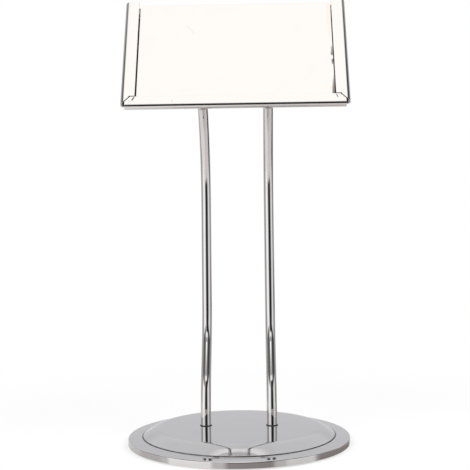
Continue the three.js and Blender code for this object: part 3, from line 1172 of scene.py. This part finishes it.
@dataclass
class FootRing:
    """A thin dark washer between a stem's foot and the dome."""

    shell: BaseShell
    spacing: float = 45.0
    diameter: float = 8.2
    thickness: float = 0.32
    clearance: float = 0.02
    bore_radius: float = 2.3
    edge_round: float = 0.12
    edge_steps: int = 4
    segments: int = 64

    def __post_init__(self) -> None:
        """Find the ring's underside, just over the dome, and its upper face, where the stem stands."""
        self.bottom = self.shell.height(self.spacing / 2 - self.diameter / 2) + self.clearance
        self.top = self.bottom + self.thickness

    def build(self) -> None:
        """Build both rings in place."""
        r = self.edge_round
        centre = self.diameter / 2 - r
        profile = [
            (self.bore_radius, self.bottom), (self.bore_radius, self.top),
            *arc((centre, self.top - r), r, 90, 0, self.edge_steps),
            *arc((centre, self.bottom + r), r, 0, -90, self.edge_steps)]
        left = turned_piece("left_seat_ring", profile, self.segments, (-self.spacing / 2, 0), hollow=True)
        soften(left)
        dress(left, RING_NYLON)
        declare_pair(left, self.spacing, "ring_plastic", "foot_ring")


@dataclass
class BasePad:
    """A round rubber sheet under the base, with fine rings moulded into its underside."""

    diameter: float = 144.0
    thickness: float = 1.5
    middle_radius: float = 4.0
    edge_round: float = 0.4
    edge_steps: int = 5
    groove_depth: float = 0.35
    groove_width: float = 1.2
    groove_radii: tuple[float, ...] = (12.0, 20.0, 28.0, 36.0, 44.0, 52.0, 60.0, 67.0)
    segments: int = 128

    def build(self) -> None:
        """Build the pad in place."""
        r, half = self.edge_round, self.groove_width / 2
        centre = self.diameter / 2 - r
        groove = ((-half, 0.0), (-half / 2, self.groove_depth), (half / 2, self.groove_depth), (half, 0.0))
        profile = [
            (self.middle_radius, 0.0),
            *((radius + across, up) for radius in self.groove_radii for across, up in groove),
            *arc((centre, r), r, -90, 0, self.edge_steps),
            *arc((centre, self.thickness - r), r, 0, 90, self.edge_steps),
            (self.middle_radius, self.thickness)]
        piece = turned_piece("ribbed_pad", profile, self.segments)
        soften(piece)
        dress(piece, PAD_RUBBER)
        declare(piece, "pad_rubber", "base_pad")


@dataclass
class HiddenHardware:
    """The ballast and fastenings under the shell, which keep their CAD shapes."""

    fastenings: tuple[str, ...] = ("stem_screw", "flat_washer", "lock_washer")

    def dress_nodes(self) -> None:
        """Give each carried-over CAD node its finish."""
        plated = [f"{side.label}_{kind}" for side in Side for kind in self.fastenings]
        for finish, nodes in ((CAST_IRON, ["base_ballast"]), (PLATED_STEEL, plated)):
            material = finish.material()
            for node in nodes:
                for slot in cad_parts[node].material_slots:
                    slot.material = material
                log.info("%s: CAD node in %s", node, finish.name)


# Studio


@dataclass(frozen=True)
class StudioCard:
    """A soft-edged card of light or shade around the holder, seen only in its polish.

    Azimuth runs from the front, positive to the reader's right, and elevation from the horizon.
    """

    name: str
    azimuth: float
    elevation: float
    half_width: float
    half_height: float
    level: Colour
    softness: float
    side_softness: float


def grey(level: float) -> Colour:
    """A grey of a level."""
    return (level, level, level)


CARDS = tuple(StudioCard(*row) for row in (
    ("upper glow", 0, 45, 181, 23, (0.84, 0.84, 0.845), 6, 3),
    ("overhead", 0, 90, 181, 22, (1.13, 1.12, 1.11), 3, 3),
    ("left wall", -101, 8, 17, 30, grey(0.50), 6, 5),
    ("right wall", 101, 8, 17, 30, grey(0.34), 6, 5),
    ("right low shade", 122, -16, 34, 13, (0.03, 0.025, 0.02), 5, 4),
    ("front band", 0, 48, 40, 4, grey(0.60), 1.5, 6),
    ("front strip", 0, 41, 26, 3.5, grey(1.3), 1.5, 5),
    ("left upper shade", -60, 40, 26, 13, grey(0.17), 3, 5),
    ("right upper shade", 62, 39, 28, 14, grey(0.09), 3, 5),
    ("front softbox", 0, 62, 20, 10.5, (1.665, 1.652, 1.614), 1, 4),
    ("left light", -50, -1, 24, 27, grey(1.45), 2, 3),
    ("right light", 66, -1, 17, 27, grey(1.15), 2, 3),
    ("front shade", 12, 9.5, 24, 27.5, grey(0.035), 1.5, 4),
    ("below", 0, -66, 181, 38, (0.95, 0.91, 0.90), 4, 3),
))


@dataclass
class Studio:
    """Floor, lamps and surroundings; a fade starts and ends at distances from the holder."""

    floor_radius: float = 2500.0
    floor_opening: float = 70.0
    floor_drop: float = 0.3
    floor_sides: int = 128
    white_fade: Point = (110.0, 420.0)
    mirror_fade: Point = (380.0, 760.0)
    contact_fade: Point = (76.0, 150.0)
    near_colour: Colour = grey(0.40)
    near_glow: Colour = grey(0.66)
    contact_colour: Colour = (0.80, 0.74, 0.71)
    mirrored_colour: Colour = (1.0, 0.965, 0.95)
    bounce_colour: Colour = (1.0, 0.97, 0.95)
    bounce_range: tuple[float, ...] = (-120 * MM, 60 * MM, 0.26, 0.0)
    grazing_range: tuple[float, ...] = (0.45, 0.80, 0.0, 0.55)
    diffuse_level: Colour = grey(0.5)
    open_level: Colour = (0.715, 0.715, 0.73)
    white: Colour = grey(1.0)
    lamp_power: float = 8.0
    lamp_size: float = 900.0
    lamps: tuple[tuple[str, Place], ...] = (
        ("left_lamp", (-900, -800, 1300)), ("right_lamp", (1000, -500, 1250)))
    cards: tuple[StudioCard, ...] = CARDS

    def build(self) -> None:
        """Build the whole studio."""
        self.lay_floor()
        self.hang_lamps()
        self.paint_surroundings()

    def lay_floor(self) -> None:
        """Lay a wide pale floor that keeps the holder's shadow near the base."""
        centre = (0, 0, -self.floor_drop)
        floor = open_ring("studio_floor", self.floor_sides, self.floor_opening, centre)
        with editing(floor):
            extrude()
            factor = self.floor_radius / self.floor_opening
            scale_selected((factor, factor, 1), centre)
            bpy.ops.mesh.select_all(action="SELECT")
            bpy.ops.mesh.normals_make_consistent(inside=False)
        if floor.data.polygons[0].normal.z < 0:
            floor.data.flip_normals()
        floor.data.materials.append(self.floor_material())

    def floor_material(self) -> Material:
        """Build the floor's material: white to the camera, duller in the holder's polish, with a painted
        shadow close round the base there.

        Returns:
            The material.
        """
        material, sheet, place = start_material("Studio floor")
        path = sheet.add("LightPath").outputs
        away = sheet.add("VectorMath", {0: place}, operation="LENGTH").outputs["Value"]
        across = sheet.add("SeparateXYZ", {0: place}).outputs["X"]
        facing = sheet.add("LayerWeight").outputs["Facing"]
        white, mirror, contact_shade = (
            sheet.spread(away, start * MM, end * MM, 0.0, 1.0)
            for start, end in (self.white_fade, self.mirror_fade, self.contact_fade))

        near = sheet.total(
            sheet.add("BsdfDiffuse", {"Color": self.near_colour}),
            sheet.add("Emission", {"Color": self.near_glow}))
        seen = sheet.blend(white, near, sheet.add("Emission", {"Color": self.white}))

        # In the polish the floor turns darker and browner close round the base: a painted shadow.
        tone = sheet.mix(contact_shade, self.contact_colour, self.mirrored_colour)
        side_light = sheet.spread(across, *self.bounce_range)
        dull = sheet.total(
            sheet.add("BsdfDiffuse", {"Color": tone}),
            sheet.add("Emission", {"Color": self.bounce_colour, "Strength": side_light}))
        glimpse = sheet.math("MAXIMUM", mirror, sheet.spread(facing, *self.grazing_range))
        mirrored = sheet.blend(glimpse, dull, sheet.add("BsdfTransparent"))
        close_tree(sheet, sheet.blend(path["Is Camera Ray"], mirrored, seen))
        return material

    def hang_lamps(self) -> None:
        """Hang two soft lamps that light the floor and the dull parts, and stay out of the polish."""
        for name, place in self.lamps:
            bpy.ops.object.light_add(type="AREA", location=Vector(place) * MM)
            lamp = named(name)
            lamp.data.size = self.lamp_size * MM
            lamp.data.energy = self.lamp_power
            lamp.rotation_euler = (-Vector(place)).to_track_quat("-Z", "Y").to_euler()
            lamp.visible_camera = False
            lamp.visible_glossy = False

    def paint_surroundings(self) -> None:
        """Paint the world: white to the camera, a studio of cards in the polish, plain light elsewhere."""
        world = bpy.data.worlds.new("Card studio")
        bpy.context.scene.world = world
        world.use_nodes = True
        sheet = Sheet(world.node_tree)
        toward = sheet.add("SeparateXYZ", {0: sheet.add("TexCoord").outputs["Generated"]}).outputs
        turn = sheet.math("ARCTAN2", toward["X"], sheet.math("MULTIPLY", toward["Y"], -1.0))
        rise = sheet.math("ARCSINE", toward["Z"])
        azimuth, elevation = (sheet.math("MULTIPLY", angle, degrees(1)) for angle in (turn, rise))
        colour: object = self.open_level
        for card in self.cards:
            mask = CARD_MASK.place(
                sheet, Azimuth=azimuth, Elevation=elevation, Centre_Azimuth=card.azimuth,
                Centre_Elevation=card.elevation, Half_Width=card.half_width,
                Half_Height=card.half_height, Side_Softness=card.side_softness, Softness=card.softness)
            mask.label = card.name
            colour = sheet.mix(mask.outputs["Mask"], colour, card.level)
        path = sheet.add("LightPath").outputs
        mirrored = sheet.math("MAXIMUM", path["Is Glossy Ray"], path["Is Transmission Ray"])
        plain, studio, white = (
            sheet.add("Background", {"Color": light})
            for light in (self.diffuse_level, colour, self.white))
        unseen = sheet.blend(mirrored, plain, studio)
        close_tree(sheet, sheet.blend(path["Is Camera Ray"], unseen, white), "OutputWorld")


@dataclass(frozen=True)
class ViewPoint:
    """The camera, where the photograph was taken from."""

    place: Place = (13.64, -568.02, 130.20)
    yaw: float = 1.5
    pitch: float = 1.029
    roll: float = -0.665
    focal_pixels: float = 829.449
    picture_width: float = 470.0
    sensor: float = 36.0
    nearest: float = 10.0

    def build(self) -> None:
        """Make the camera and look through it."""
        data = bpy.data.cameras.new("photo_camera")
        data.sensor_width = self.sensor
        data.lens = self.focal_pixels / self.picture_width * self.sensor
        data.clip_start = self.nearest * MM
        camera = bpy.data.objects.new("photo_camera", data)
        bpy.context.scene.collection.objects.link(camera)
        camera.matrix_world = Matrix.Translation(Vector(self.place) * MM)
        for turn, axis in ((self.yaw, "Z"), (90 + self.pitch, "X"), (self.roll, "Z")):
            camera.matrix_world = camera.matrix_world @ Matrix.Rotation(radians(turn), 4, axis)
        bpy.context.scene.camera = camera


def main() -> None:
    """Build the holder and its studio."""
    logging.basicConfig(level=logging.INFO, format="%(name)s: %(message)s")
    bpy.context.scene.view_settings.view_transform = "Standard"
    build_shared_effects()
    ViewPoint().build()
    card_frame = CardFrame()
    card_frame.build()
    shell = BaseShell()
    shell.build()
    ring = FootRing(shell)
    ring.build()
    stem = Stem(card_frame, foot_height=ring.top)
    stem.build()
    StemWeld(stem).build()
    BasePad().build()
    HiddenHardware().dress_nodes()
    Studio().build()


if __name__ == "__main__":
    main()
